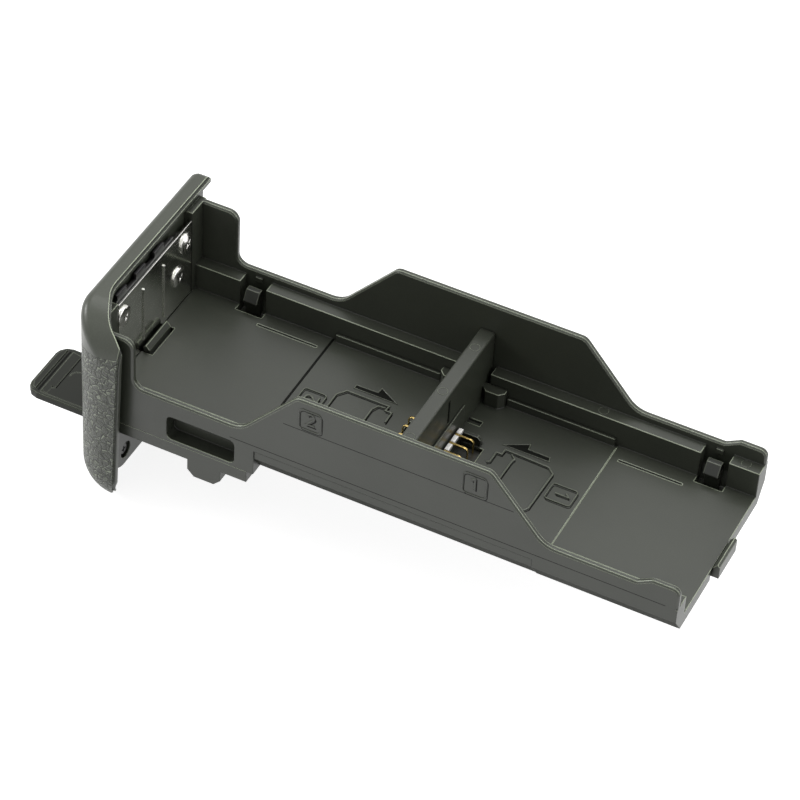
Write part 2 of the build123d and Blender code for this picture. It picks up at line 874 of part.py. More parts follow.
cap_outer = soft_block(0)
cap_under_pad = soft_block(pad_thickness)
cap_under_rim = soft_block(rim_lip_inset)
cap_inner = cap_block(cap_wall, chamfer, cap_inner_bevel) & soft_block(pad_thickness + least_wall)
pivot_z = lock_z - key_pivot_drop
hub_front = cap_end + dish_depth
hub_back = hub_front + hub_thickness
sweep = [
    (cap_front, cap_far + cap_wall),
    cap_sweep_start,
    cap_sweep_middle,
    (cap_flange_x, cap_sweep_end_y),
    (cap_flange_x, cap_near - cap_wall),
    (cap_flange_x + 2 * cap_wall, cap_near - cap_wall),
    (cap_flange_x + 2 * cap_wall, cap_far + cap_wall),
]
flange_slant = [
    (cap_flange_x, pad_top_front),
    (flange_low_x, flange_low_z),
    (flange_tip_x, cap_low),
    (flange_tip_x, cap_low - cap_wall),
    (cap_flange_x + 2 * cap_wall, cap_low - cap_wall),
    (cap_flange_x + 2 * cap_wall, pad_top_front),
]

# The rubber pad round the cap's near corner
with BuildPart() as rubber_pad:
    add(cap_outer)
    add(cap_under_pad, mode=Mode.SUBTRACT)
    with BuildSketch(at_y(pad_end_y)):
        outline(
            [
                (cap_end - cap_wall, cap_low - cap_wall),
                (cap_flange_x, cap_low - cap_wall),
                (cap_flange_x, pad_top_front),
                (cap_end - cap_wall, pad_top_back),
            ]
        )
    extrude(amount=pad_end_y - cap_near + cap_wall, mode=Mode.INTERSECT)
    add(cap_front_cut(rim_lip_length), mode=Mode.SUBTRACT)
finish(rubber_pad, "rubber_pad")

# The end cap's shell
with BuildPart() as end_cap:
    add(cap_outer)
    tight_edges = [
        end_cap.edges().filter_by(Axis.Y).sort_by_distance((cap_end, 0, cap_high))[0],
        end_cap.edges().filter_by(Axis.Z).sort_by_distance((cap_end, cap_far, 0))[0],
        end_cap.edges().filter_by(Axis.X).sort_by_distance((cap_end, cap_far, cap_high))[0],
    ]
    fillet(tight_edges, radius=cap_edge_radius)
    add(cap_front_cut(0), mode=Mode.SUBTRACT)
    # The rim's lip stands in front of the outer skin. On the far side the skin stops farther back
    add(cap_front_cut(rim_lip_length) - cap_under_rim, mode=Mode.SUBTRACT)
    with BuildSketch(at_z(cap_low)):
        slab((cap_far_front, cap_front), (outer_half + side_play, cap_far))
    extrude(amount=cap_high - cap_wall - cap_low, mode=Mode.SUBTRACT)
    with BuildSketch(at_x(cap_floor), mode=Mode.PRIVATE) as cavity_face:
        slab((cap_near, cap_far), (cap_low, cap_high))
    cavity = extrude(cavity_face.sketch, amount=cap_flange_x - cap_floor, mode=Mode.PRIVATE)
    add(cavity & cap_inner, mode=Mode.SUBTRACT)
    with BuildSketch(at_x(cap_floor)):
        slab((plate_far + side_play, outer_half), (0, closed_ear_top))
        slab((-outer_half, plate_near - side_play), (0, near_ear_top))
    extrude(amount=cap_plane - cap_floor)
    with BuildSketch(at_x(cap_floor)):
        with Locations(*plate_screws_at):
            RegularPolygon(boss_radius, head_sides)
    extrude(amount=plate_back - cap_floor)
    with BuildSketch(at_x(cap_floor)):
        with Locations(*lower_screws_at):
            RegularPolygon(boss_radius, head_sides)
    extrude(amount=lower_frame_front - lower_frame_wall - cap_floor)
    add(rubber_pad.part, mode=Mode.SUBTRACT)
    with BuildSketch(at_x(cap_end)):
        with Locations((lock_y, lock_z)):
            Circle(dish_radius)
    extrude(amount=hub_back - cap_end, mode=Mode.SUBTRACT)
    with BuildSketch(at_x(hub_back)):
        with Locations((lock_y, lock_z)):
            Circle(shaft_radius + running_gap)
    extrude(amount=cap_floor - hub_back, mode=Mode.SUBTRACT)
    drill(at_x(plate_back), plate_screws_at, shank_radius, shank_sides, -plate_screw_length)
    lower_boss_top = lower_frame_front - lower_frame_wall
    drill(at_x(lower_boss_top), lower_screws_at, shank_radius, shank_sides, -lower_screw_length)
finish(end_cap, "end_cap")

# The frame inside the cap's lower half
cap_frame_limit = cap_block(cap_wall + lower_frame_gap, chamfer, cap_inner_bevel)
with BuildPart() as lower_frame:
    with BuildSketch(at_x(cap_floor)) as lower_face:
        slab((-lower_frame_half, lower_frame_half), (lower_frame_low, lower_frame_top))
        fillet(lower_face.vertices().group_by(Axis.Y)[0], radius=lower_frame_corner)
    extrude(amount=lower_frame_front - cap_floor)
    add(cap_frame_limit, mode=Mode.INTERSECT)
    with BuildSketch(at_x(cap_floor)) as lower_hollow:
        slab(
            (lower_frame_wall - lower_frame_half, lower_frame_half - lower_frame_wall),
            (lower_frame_low + lower_frame_wall, lower_frame_top - lower_frame_wall),
        )
        fillet(lower_hollow.vertices().group_by(Axis.Y)[0], radius=lower_frame_corner - lower_frame_wall)
    extrude(amount=lower_frame_front - lower_frame_wall - cap_floor, mode=Mode.SUBTRACT)
    with BuildSketch(at_x(cap_floor)):
        with Locations((lock_y, lock_z)):
            Circle(lock_relief_radius)
    extrude(amount=lock_relief_depth, mode=Mode.SUBTRACT)
    drill(at_x(cap_floor), lower_screws_at, boss_radius + side_play, head_sides, lower_boss_top - cap_floor)
    drill(at_x(lower_frame_front), lower_screws_at, lower_recess_radius, head_sides, -lower_recess_depth)
    drill(at_x(lower_frame_front), lower_screws_at, shank_radius, shank_sides, -lower_frame_wall)
finish(lower_frame, "lower_frame")

with BuildPart() as lower_screws:
    lower_head_face = lower_frame_front - lower_recess_depth + head_height
    add_screws(at_x(lower_head_face), lower_screws_at, head_radius, head_height, lower_screw_length, -1)
finish(lower_screws, "lower_screws")

# The plate over the lock, and its screws
with BuildPart() as lock_plate:
    with BuildSketch(at_x(plate_back)):
        slab((plate_near, plate_far), (plate_low, plate_top))
    extrude(amount=plate_thickness)
    with BuildSketch(at_x(plate_back + plate_thickness)):
        for y in plate_rib_ys:
            slab((y - plate_rib_width / 2, y + plate_rib_width / 2), (plate_rib_low, plate_rib_high))
    extrude(amount=plate_rib_proud)
    drill(at_x(plate_back), plate_screws_at, shank_radius, shank_sides, plate_thickness)
finish(lock_plate, "lock_plate")

with BuildPart() as plate_screws:
    plate_head_face = plate_back + plate_thickness + plate_head_height
    plate_screw_reach = plate_thickness + plate_head_height + plate_screw_length
    add_screws(
        at_x(plate_head_face), plate_screws_at, plate_head_radius, plate_head_height, plate_screw_reach, -1
    )
finish(plate_screws, "plate_screws")

# The lock: hub in the cap's dish, folding key on its pin, cam behind the cap and the slider it moves
ear_inner = key_half_width + ear_gap
with BuildPart() as lock_hub:
    with BuildSketch(at_x(hub_front)):
        with Locations((lock_y, lock_z)):
            Circle(hub_radius)
    extrude(amount=hub_thickness - cam_gap)
    with BuildSketch(at_x(hub_back - cam_gap)):
        with Locations((lock_y, lock_z)):
            Circle(shaft_radius)
    extrude(amount=cap_floor - hub_back + 2 * cam_gap)
    with BuildSketch(at_x(ear_top_x)):
        for side in (-1, 1):
            slab(
                sorted((lock_y + side * ear_inner, lock_y + side * (ear_inner + ear_thickness))),
                (pivot_z - ear_half_height, pivot_z + ear_half_height),
            )
    extrude(amount=hub_front - ear_top_x)
    with BuildSketch(at_x(cap_floor + cam_gap)):
        with Locations((lock_y, lock_z)):
            Circle(spigot_radius + spigot_gap)
    extrude(amount=-spigot_length, mode=Mode.SUBTRACT)
    with Locations(Location((key_pivot_x, lock_y, pivot_z), (90, 0, 0))):
        Cylinder(key_pin_radius, 2 * (ear_inner + ear_thickness), mode=Mode.SUBTRACT)
    # Relief that takes the key's raised rim when it is folded flat
    with BuildSketch(at_x(hub_front)):
        slab(
            (lock_y - key_half_width, lock_y + key_half_width),
            (pivot_z + key_length - key_rim_width - side_play, pivot_z + key_length + side_play),
        )
    extrude(amount=hub_thickness / 2, mode=Mode.SUBTRACT)
finish(lock_hub, "lock_hub")

with BuildPart() as key_pin:
    with Locations(Location((key_pivot_x, lock_y, pivot_z), (90, 0, 0))):
        Cylinder(key_pin_radius, 2 * (ear_inner + ear_thickness) - 2 * seat_gap)
finish(key_pin, "key_pin")

key_tip = key_pivot_x - key_length
key_top = pivot_z + key_thickness / 2
with BuildPart() as turn_key:
    with BuildSketch(at_z(pivot_z - key_thickness / 2)) as key_plan:
        slab((key_tip, key_pivot_x), (lock_y - key_half_width, lock_y + key_half_width))
        chamfer(key_plan.vertices().group_by(Axis.X)[0], length=key_corner)
    extrude(amount=key_thickness)
    with Locations(Location((key_pivot_x, lock_y, pivot_z), (90, 0, 0))):
        Cylinder(key_thickness / 2, 2 * key_half_width)
    with BuildSketch(at_z(key_top)):
        slab(
            (key_tip, key_tip + key_rim_width),
            (lock_y - key_half_width + key_corner, lock_y + key_half_width - key_corner),
        )
    extrude(amount=key_rim_rise)
    with BuildSketch(at_z(key_top)):
        slab(
            (key_tip + key_rim_width, key_tip + key_rim_width + key_groove_width),
            (lock_y - key_half_width, lock_y + key_half_width),
        )
        slab(
            (key_tip + key_slit_x, key_tip + key_slit_x + key_slit_width),
            (lock_y - key_slit_half, lock_y + key_slit_half),
        )
    extrude(amount=-key_groove_depth, mode=Mode.SUBTRACT)
    with Locations(Location((key_pivot_x, lock_y, pivot_z), (90, 0, 0))):
        Cylinder(key_pin_radius + pin_clearance, 2 * key_half_width, mode=Mode.SUBTRACT)
finish(turn_key, "turn_key")

crank_y = lock_y - crank_throw * crank_share
crank_z = lock_z + crank_throw * crank_share
with BuildPart() as lock_cam:
    with BuildSketch(at_x(cap_floor + cam_gap)):
        with Locations((lock_y, lock_z)):
            Circle(cam_radius)
    extrude(amount=cam_thickness)
    with BuildSketch(at_x(cap_floor + cam_gap)):
        with Locations((crank_y, crank_z)):
            Circle(crank_radius)
    extrude(amount=cam_thickness + crank_height)
    with BuildSketch(at_x(cap_floor + cam_gap)):
        with Locations((lock_y, lock_z)):
            Circle(spigot_radius)
    extrude(amount=spigot_gap - spigot_length)
finish(lock_cam, "lock_cam")

with BuildPart() as lock_slider:
    with BuildSketch(at_x(slider_back)):
        slab((crank_y - slider_foot_half, crank_y + slider_foot_half), (slider_foot_low, slider_foot_high))
        slab((lock_y - slider_stem_half, lock_y + slider_stem_half), (slider_foot_low, slider_bar_high))
        slab((slider_bar_near, slider_bar_far), (slider_bar_low, slider_bar_high))
        for y in finger_ys:
            slab((y - finger_width / 2, y + finger_width / 2), (slider_bar_low, finger_top))
    extrude(amount=slider_thickness)
    with BuildSketch(at_x(slider_back)):
        slab(
            (crank_y - crank_radius - slider_slot_gap, crank_y + crank_radius + slider_slot_gap),
            (
                crank_z - crank_radius - slider_slot_end_gap,
                lock_z + crank_throw + crank_radius + slider_slot_end_gap,
            ),
        )
    extrude(amount=slider_thickness, mode=Mode.SUBTRACT)
finish(lock_slider, "lock_slider")
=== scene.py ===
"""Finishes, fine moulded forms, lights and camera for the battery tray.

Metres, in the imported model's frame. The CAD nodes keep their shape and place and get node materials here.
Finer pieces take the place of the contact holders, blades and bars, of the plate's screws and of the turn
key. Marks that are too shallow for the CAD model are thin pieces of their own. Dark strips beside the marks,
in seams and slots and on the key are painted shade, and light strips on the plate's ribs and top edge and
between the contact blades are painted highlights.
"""

import json
from math import cos, pi, sin

import bmesh
import bpy
from mathutils import Matrix, Vector


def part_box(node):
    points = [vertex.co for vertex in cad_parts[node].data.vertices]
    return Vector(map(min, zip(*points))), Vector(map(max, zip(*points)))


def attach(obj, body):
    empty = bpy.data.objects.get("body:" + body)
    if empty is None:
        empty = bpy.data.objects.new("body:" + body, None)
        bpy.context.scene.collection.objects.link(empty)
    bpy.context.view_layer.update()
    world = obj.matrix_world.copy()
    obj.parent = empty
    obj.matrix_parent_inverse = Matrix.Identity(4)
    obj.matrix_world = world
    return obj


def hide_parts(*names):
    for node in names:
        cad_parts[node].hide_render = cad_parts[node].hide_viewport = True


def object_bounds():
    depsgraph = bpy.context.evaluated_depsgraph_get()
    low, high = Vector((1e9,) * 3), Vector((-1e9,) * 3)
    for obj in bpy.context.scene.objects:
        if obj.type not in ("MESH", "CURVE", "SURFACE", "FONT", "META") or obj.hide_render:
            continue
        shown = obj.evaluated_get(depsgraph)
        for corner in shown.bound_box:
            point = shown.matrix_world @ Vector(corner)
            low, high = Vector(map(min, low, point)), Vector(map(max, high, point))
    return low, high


MM = 0.001

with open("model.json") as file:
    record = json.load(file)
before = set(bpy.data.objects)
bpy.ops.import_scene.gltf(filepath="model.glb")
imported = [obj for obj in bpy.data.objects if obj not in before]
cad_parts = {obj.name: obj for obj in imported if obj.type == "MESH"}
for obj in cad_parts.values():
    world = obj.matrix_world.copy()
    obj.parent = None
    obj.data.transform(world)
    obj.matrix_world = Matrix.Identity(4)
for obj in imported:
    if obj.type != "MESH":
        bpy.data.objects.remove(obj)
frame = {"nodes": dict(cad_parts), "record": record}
cad_low, cad_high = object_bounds()


class Nodes:
    """A short way to build a material: the methods add nodes and return an output to build on."""

    def __init__(self, name):
        self.material = bpy.data.materials.new(name)
        self.material.use_nodes = True
        self.tree = self.material.node_tree
        self.tree.nodes.clear()
        self.place = self.add("ShaderNodeTexCoord").outputs["Object"]

    def add(self, kind, inputs=None, **options):
        """Adds a node, sets its options and then feeds its inputs, which go by name or number."""
        node = self.tree.nodes.new(kind)
        for key, value in options.items():
            setattr(node, key, value)
        for key, value in (inputs or {}).items():
            if isinstance(value, bpy.types.NodeSocket):
                self.tree.links.new(value, node.inputs[key])
            else:
                node.inputs[key].default_value = value
        return node

    def noise(self, size, detail=3.0, roughness=0.5, vector=None):
        """Cloudy noise whose lumps are about size across, in metres."""
        inputs = {"Vector": vector or self.place, "Scale": 1 / size, "Detail": detail, "Roughness": roughness}
        return self.add("ShaderNodeTexNoise", inputs).outputs["Fac"]

    def ramp(self, value, low, high, to_low=0.0, to_high=1.0):
        """Turns low to high into to_low to to_high, and stays at the nearer end outside them."""
        inputs = {"Value": value, "From Min": low, "From Max": high, "To Min": to_low, "To Max": to_high}
        return self.add("ShaderNodeMapRange", inputs).outputs["Result"]

    def math(self, operation, a, b):
        return self.add("ShaderNodeMath", {0: a, 1: b}, operation=operation).outputs["Value"]

    def vector(self, operation, inputs):
        return self.add("ShaderNodeVectorMath", inputs, operation=operation).outputs["Vector"]

    def blend(self, factor, a, b):
        """Mixes two colours."""
        inputs = {"Factor": factor, "A": a, "B": b}
        return self.add("ShaderNodeMix", inputs, data_type="RGBA").outputs["Result"]

    def shaded(self, factor, color):
        """The colour multiplied by a grey factor."""
        inputs = {"Factor": 1.0, "A": color, "B": factor}
        node = self.add("ShaderNodeMix", inputs, data_type="RGBA", blend_type="MULTIPLY")
        return node.outputs["Result"]

    def bump(self, height, depth, normal=None):
        """Turns a height between 0 and 1 into relief of the given depth in metres."""
        inputs = {"Strength": 1.0, "Distance": depth, "Height": height}
        if normal is not None:
            inputs["Normal"] = normal
        return self.add("ShaderNodeBump", inputs).outputs["Normal"]

    def rounded(self, radius):
        """Normals that round the sharp edges off, and a mask that is 1 on those edges and 0 elsewhere."""
        flat_above, edge_below = 0.99, 0.92
        smooth = self.add("ShaderNodeBevel", {"Radius": radius}, samples=6).outputs["Normal"]
        true_normal = self.add("ShaderNodeNewGeometry").outputs["Normal"]
        dot = self.add("ShaderNodeVectorMath", {0: smooth, 1: true_normal}, operation="DOT_PRODUCT")
        return smooth, self.ramp(dot.outputs["Value"], flat_above, edge_below)

    def upward(self, normal):
        """How far the surface faces up: 1 level, 0 upright, -1 underneath."""
        return self.add("ShaderNodeSeparateXYZ", {"Vector": normal}).outputs["Z"]

    def cell_edge(self, size, vector):
        """Distance from the nearest border of cells about size across, as a share of a cell."""
        inputs = {"Vector": vector, "Scale": 1 / size}
        return self.add("ShaderNodeTexVoronoi", inputs, feature="DISTANCE_TO_EDGE").outputs["Distance"]

    def openness(self, distance):
        """1 on open faces and convex edges, less in corners and gaps nearer than distance."""
        return self.add("ShaderNodeAmbientOcclusion", {"Distance": distance}, samples=4).outputs["AO"]

    def finish(self, color, roughness, normal, metallic=0.0, specular=0.5, coat=0.0):
        """Ends the tree with the surface and returns the material."""
        inputs = {
            "Base Color": color,
            "Roughness": roughness,
            "Normal": normal,
            "Metallic": metallic,
            "Specular IOR Level": specular,
            "Coat Weight": coat,
        }
        shader = self.add("ShaderNodeBsdfPrincipled", inputs)
        self.add("ShaderNodeOutputMaterial", {"Surface": shader.outputs["BSDF"]})
        return self.material


def gray_green(level):
    """The tray's neutral grey with its slight green cast."""
    cast = (0.96, 1.07, 0.8)
    return tuple(level * part for part in cast) + (1.0,)


def moulded_plastic(name, level, grain=0.22 * MM, depth=0.006 * MM, roughness=0.36, gloss=0.5, shine=18):
    """Moulded plastic with fine grain and flow marks, painted shade in crevices and on faces that look down,
    and painted highlights on upward edges that are shine times as light.
    """
    n = Nodes(name)
    edge_radius = 0.3 * MM
    crevice_reach = 0.9 * MM
    flow_size = 14 * MM
    flow_change, flow_polish = 0.08, 0.04
    grain_light, grain_share = 1.5, 0.35
    crevice_shade = 0.45
    edge_highlight_share, edge_polish = 0.9, 0.16
    underside_shade_level, underside_shade_share = 0.004, 0.6
    underside_dull, underside_gloss = 0.3, 0.06

    smooth, edge = n.rounded(edge_radius)
    near = n.openness(crevice_reach)
    facing = n.upward(smooth)
    # Convex edges that face up: this mask carries the painted highlight and the edges' polish
    edge = n.math("MULTIPLY", edge, n.ramp(near, 0.78, 0.94))
    edge = n.math("MULTIPLY", edge, n.ramp(facing, 0.15, 0.6))
    underside = n.ramp(facing, -0.2, -0.6)
    fine = n.noise(grain, detail=2.0, roughness=0.6)
    flow = n.noise(flow_size)

    dark_flow, light_flow = gray_green(level * (1 - flow_change)), gray_green(level * (1 + flow_change))
    tone = n.blend(n.ramp(flow, 0.35, 0.65), dark_flow, light_flow)
    tone = n.blend(n.ramp(fine, 0.42, 0.75, 0.0, grain_share), tone, gray_green(level * grain_light))
    # Painted highlight: the upward edges made shine times as light
    tone = n.blend(n.math("MULTIPLY", edge, edge_highlight_share), tone, gray_green(level * shine))
    # Painted shade in corners and gaps nearer than crevice_reach
    tone = n.shaded(n.ramp(near, 0.35, 0.85, crevice_shade, 1.0), tone)
    # Painted shade on faces that look down
    tone = n.blend(n.math("MULTIPLY", underside, underside_shade_share), tone, gray_green(underside_shade_level))

    polish = n.ramp(flow, 0.3, 0.7, roughness + flow_polish, roughness - flow_polish)
    polish = n.math("SUBTRACT", polish, n.math("MULTIPLY", edge, edge_polish))
    polish = n.math("ADD", polish, n.math("MULTIPLY", underside, underside_dull))
    mirror = n.ramp(facing, -0.2, -0.5, gloss, underside_gloss)
    return n.finish(tone, polish, n.bump(fine, depth, smooth), specular=mirror)


def leather_rubber(name, level):
    """Grip rubber with a pebbled leather grain: raised cells between narrow creases, with painted shade
    in the creases and a painted highlight and shade on opposite sides of each cell.
    """
    n = Nodes(name)
    warp_size, warp_reach = 1.6 * MM, 0.9 * MM
    cell_size, crease_size = 1.2 * MM, 0.6 * MM
    pore_size, patch_size = 0.22 * MM, 1.8 * MM
    relief = 0.26 * MM
    to_light = (0.0, 0.14 * MM, 0.2 * MM)
    crease_height, pore_height = 0.28, 0.22
    crease_shade_level, lit_level, shade_level = level * 0.5, level * 5.5, level * 0.3
    valley_roughness, dome_roughness = 0.5, 0.33

    warp = n.add("ShaderNodeTexNoise", {"Vector": n.place, "Scale": 1 / warp_size}).outputs["Color"]
    shift = n.vector("SCALE", {0: warp, "Scale": warp_reach})
    bent = n.vector("ADD", {0: n.place, 1: shift})
    beside = n.vector("ADD", {0: bent, 1: to_light})
    dome, dome_beside = [
        n.math("POWER", n.ramp(n.cell_edge(cell_size, place), 0.0, 0.2), 0.55) for place in (bent, beside)
    ]
    creases = n.ramp(n.cell_edge(crease_size, bent), 0.0, 0.12)
    pores = n.noise(pore_size, detail=2.0)
    patches = n.ramp(n.noise(patch_size, detail=2.0), 0.42, 0.58, 0.25, 1.0)
    slope = n.math("SUBTRACT", dome, dome_beside)
    lit = n.math("MULTIPLY", n.ramp(slope, 0.1, 0.35), patches)
    shade = n.math("MULTIPLY", n.ramp(slope, -0.1, -0.35), patches)
    height = n.math("ADD", dome, n.math("MULTIPLY", creases, crease_height))
    height = n.math("ADD", height, n.math("MULTIPLY", pores, pore_height))

    # Painted shade in the creases
    tone = n.blend(n.ramp(creases, 0.0, 1.0, 0.3, 0.0), gray_green(level), gray_green(crease_shade_level))
    # Painted highlight on each cell's side towards the light and painted shade on the side away from it
    tone = n.blend(n.math("MULTIPLY", lit, 0.85), tone, gray_green(lit_level))
    tone = n.blend(n.math("MULTIPLY", shade, 0.8), tone, gray_green(shade_level))
    roughness = n.ramp(dome, 0.0, 1.0, valley_roughness, dome_roughness)
    return n.finish(tone, roughness, n.bump(height, relief))


def mottled(n, pattern, low, high, color, darkening):
    """The colour, multiplied by darkening where the pattern is at low and as it is at high."""
    dark = tuple(part * darkening for part in color)
    return n.blend(n.ramp(pattern, low, high), dark + (1.0,), color + (1.0,))


def plain_metal(name, color, roughness, brushed=(1.0, 1.0, 1.0), depth=0.004 * MM):
    """Bare metal with fine brushing, stretched along the axis whose factor is small."""
    n = Nodes(name)
    edge_radius = 0.12 * MM
    line_size, patch_size = 0.16 * MM, 3 * MM
    finer, coarser = roughness - 0.06, roughness + 0.08
    edge_polish = -0.05

    smooth, edge = n.rounded(edge_radius)
    lines = n.noise(line_size, vector=n.vector("MULTIPLY", {0: n.place, 1: brushed}))
    tone = mottled(n, n.noise(patch_size), 0.3, 0.7, color, 0.86)
    rough = n.ramp(lines, 0.3, 0.7, finer, coarser)
    rough = n.math("ADD", rough, n.math("MULTIPLY", edge, edge_polish))
    return n.finish(tone, rough, n.bump(lines, depth, smooth), metallic=1.0)


def glossy_film(name, color):
    """Board lacquer or ribbon film: a glossy skin over slightly uneven colour."""
    n = Nodes(name)
    edge_radius = 0.08 * MM
    mottle_size, relief = 1.2 * MM, 0.01 * MM
    smoothest, roughest = 0.25, 0.35
    coat = 0.3

    smooth = n.rounded(edge_radius)[0]
    mottle = n.noise(mottle_size)
    tone = mottled(n, mottle, 0.35, 0.65, color, 0.8)
    rough = n.ramp(mottle, 0.3, 0.7, smoothest, roughest)
    return n.finish(tone, rough, n.bump(mottle, relief, smooth), coat=coat)


# Levels of the plastics, and colours of metals and films
tray_level = 0.036
cover_level = tray_level * 0.95
key_level = tray_level * 0.45
holder_level = 0.014
cap_level = 0.05
rubber_level = 0.054
shade_strip_level = 0.005
gold = (0.95, 0.7, 0.26)
tin = (0.95, 0.94, 0.92)
plate_color = (0.86, 0.87, 0.82)
screw_color = (0.86, 0.85, 0.81)
dark_color = (0.09, 0.09, 0.09)
lacquer = (0.012, 0.09, 0.035)
film = (0.42, 0.2, 0.04)

cap_grain, cap_depth = 0.3 * MM, 0.016 * MM
finishes = {
    "tray_plastic": moulded_plastic("tray_plastic", tray_level),
    "cover_plastic": moulded_plastic("cover_plastic", cover_level, grain=0.26 * MM),
    "holder_plastic": moulded_plastic("holder_plastic", holder_level, grain=0.18 * MM, roughness=0.34),
    "cap_plastic": moulded_plastic("cap_plastic", cap_level, cap_grain, cap_depth, roughness=0.34),
    "key_plastic": moulded_plastic("key_plastic", key_level, roughness=0.45, gloss=0.2, shine=12),
    "mark_plastic": moulded_plastic("mark_plastic", tray_level, shine=7),
    # Near-black finish for the strips of painted shade
    "shade_strip_plastic": moulded_plastic("shade_strip_plastic", shade_strip_level, gloss=0.08, shine=1),
    "grip_rubber": leather_rubber("grip_rubber", rubber_level),
    "contact_metal": plain_metal("contact_gold", gold, 0.2),
    "bar_metal": plain_metal("bar_tin", tin, 0.5, brushed=(1.0, 0.08, 1.0)),
    "plate_metal": plain_metal("plate_steel", plate_color, 0.18, brushed=(1.0, 0.05, 1.0), depth=0.001 * MM),
    "bright_steel": plain_metal("bright_steel", screw_color, 0.17),
    "dark_steel": plain_metal("dark_steel", dark_color, 0.35),
    "board": glossy_film("board_lacquer", lacquer),
    "ribbon": glossy_film("ribbon_film", film),
}

# Nodes and pieces whose finish isn't the one that their slot names
own_finish = {
    "lock_slider": "dark_steel",
    "lock_cam": "dark_steel",
    "turn_key": "key_plastic",
    "detailed_turn_key": "key_plastic",
    "moulded_marks": "mark_plastic",
    "ejector_rings": "mark_plastic",
    "mark_shade_strips": "shade_strip_plastic",
    "key_shade_strips": "shade_strip_plastic",
}
slot_of = {row["node"]: row["material_slot"] for row in frame["record"]["subparts"]}
for node_name, node_object in frame["nodes"].items():
    node_object.data.materials.clear()
    node_object.data.materials.append(finishes[own_finish.get(node_name, slot_of[node_name])])


def add_piece(name, shape, body, slot, *replaced):
    """Turns a bmesh into an object that rides on a body and has its own finish or its slot's."""
    mesh = bpy.data.meshes.new(name)
    bmesh.ops.recalc_face_normals(shape, faces=shape.faces)
    shape.to_mesh(mesh)
    shape.free()
    mesh.materials.append(finishes[own_finish.get(name, slot)])
    obj = bpy.data.objects.new(name, mesh)
    bpy.context.collection.objects.link(obj)
    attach(obj, body)
    if replaced:
        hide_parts(*replaced)


# From here to the studio, lengths are in millimetres, and a placing function turns them into metres


def inset(points, distance):
    """The closed outline moved inwards by distance, with mitred corners. The points run anticlockwise."""
    longest_mitre = 2.5
    moved = []
    for before, here, after in zip(points[-1:] + points[:-1], points, points[1:] + points[:1]):
        a, b, c = Vector(before), Vector(here), Vector(after)
        first, second = (b - a).normalized(), (c - b).normalized()
        normal_1, normal_2 = Vector((-first.y, first.x)), Vector((-second.y, second.x))
        bisector = (normal_1 + normal_2).normalized()
        moved.append(tuple(b + bisector * (distance / max(bisector.dot(normal_1), 1 / longest_mitre))))
    return moved


def close_ring(shape, lower, upper):
    """Side faces between two loops of as many points."""
    for i in range(len(lower)):
        j = (i + 1) % len(lower)
        shape.faces.new((lower[i], lower[j], upper[j], upper[i]))


def slab(shape, points, low, high, ease, place):
    """A flat plate with an eased upper edge. place turns u, v and height into a point in metres."""
    loops = []
    for outline, height in ((points, low), (points, high - ease), (inset(points, ease), high)):
        loops.append([shape.verts.new(place(u, v, height)) for u, v in outline])
    for lower, upper in zip(loops, loops[1:]):
        close_ring(shape, lower, upper)
    shape.faces.new(loops[-1])
    shape.faces.new(list(reversed(loops[0])))


def ridge(shape, points, width, height, place, closed=False):
    """A low moulded line with sloping sides along the points."""
    foot, foot_level, top = 0.5, -0.05, 0.22
    longest_mitre = 2
    path = [Vector(p) for p in points]
    loops = []
    for i, here in enumerate(path):
        before = path[i - 1] if i or closed else here
        after = path[(i + 1) % len(path)] if i + 1 < len(path) or closed else here
        ways = [w.normalized() for w in (here - before, after - here) if w.length > 0]
        normals = [Vector((-w.y, w.x)) for w in ways]
        side = sum(normals, Vector((0.0, 0.0))).normalized()
        side *= 1 / max(side.dot(normals[0]), 1 / longest_mitre)
        loop = []
        for across, level in ((-foot, foot_level), (-top, height), (top, height), (foot, foot_level)):
            spot = here + side * across * width
            loop.append(shape.verts.new(place(spot.x, spot.y, level)))
        loops.append(loop)
    for one_loop, next_loop in zip(loops, loops[1:] + loops[:1] if closed else loops[1:]):
        close_ring(shape, one_loop, next_loop)
    if not closed:
        shape.faces.new(loops[0])
        shape.faces.new(list(reversed(loops[-1])))


def arc(centre, radius, start, end, steps):
    """Points along an arc, with its angles in degrees."""
    angles = [(start + (end - start) * i / steps) * pi / 180 for i in range(steps + 1)]
    return [(centre[0] + radius * cos(a), centre[1] + radius * sin(a)) for a in angles]


def circle(centre, radius, corners=24):
    """A circle's outline, anticlockwise."""
    return arc(centre, radius, 0, 360 - 360 / corners, corners - 1)


def rectangle(left, low, right, high):
    """A rectangle's outline, anticlockwise."""
    return [(left, low), (right, low), (right, high), (left, high)]


def rounded_box(left, low, right, high, radius):
    """A rectangle's outline with round corners, anticlockwise."""
    steps = 5
    return (
        arc((right - radius, high - radius), radius, 0, 90, steps)
        + arc((left + radius, high - radius), radius, 90, 180, steps)
        + arc((left + radius, low + radius), radius, 180, 270, steps)
        + arc((right - radius, low + radius), radius, 270, 360, steps)
    )


def on_level(z):
    """Placing on a level face at z."""
    return lambda u, v, height: Vector((u, v, z + height)) * MM


def on_upright(x):
    """Placing on an upright face at x that looks to the right: u runs along Y, v is the height."""
    return lambda u, v, height: Vector((x + height, u, v)) * MM


def on_near_wall(u, v, height):
    """Placing on the near wall's outer face: u runs along X, v is the height."""
    return Vector((u * MM, wall_face - height * MM, v * MM))


def in_section(way, y):
    """Placing in an upright section at y: u runs along X away from the divider, v is the height."""
    return lambda u, v, height: Vector((way * u, y + height, v)) * MM


def beside_divider(way, z):
    """Placing on a level face at z: u runs along X away from the divider, v along Y."""
    return lambda u, v, height: Vector((way * u, v, z + height)) * MM


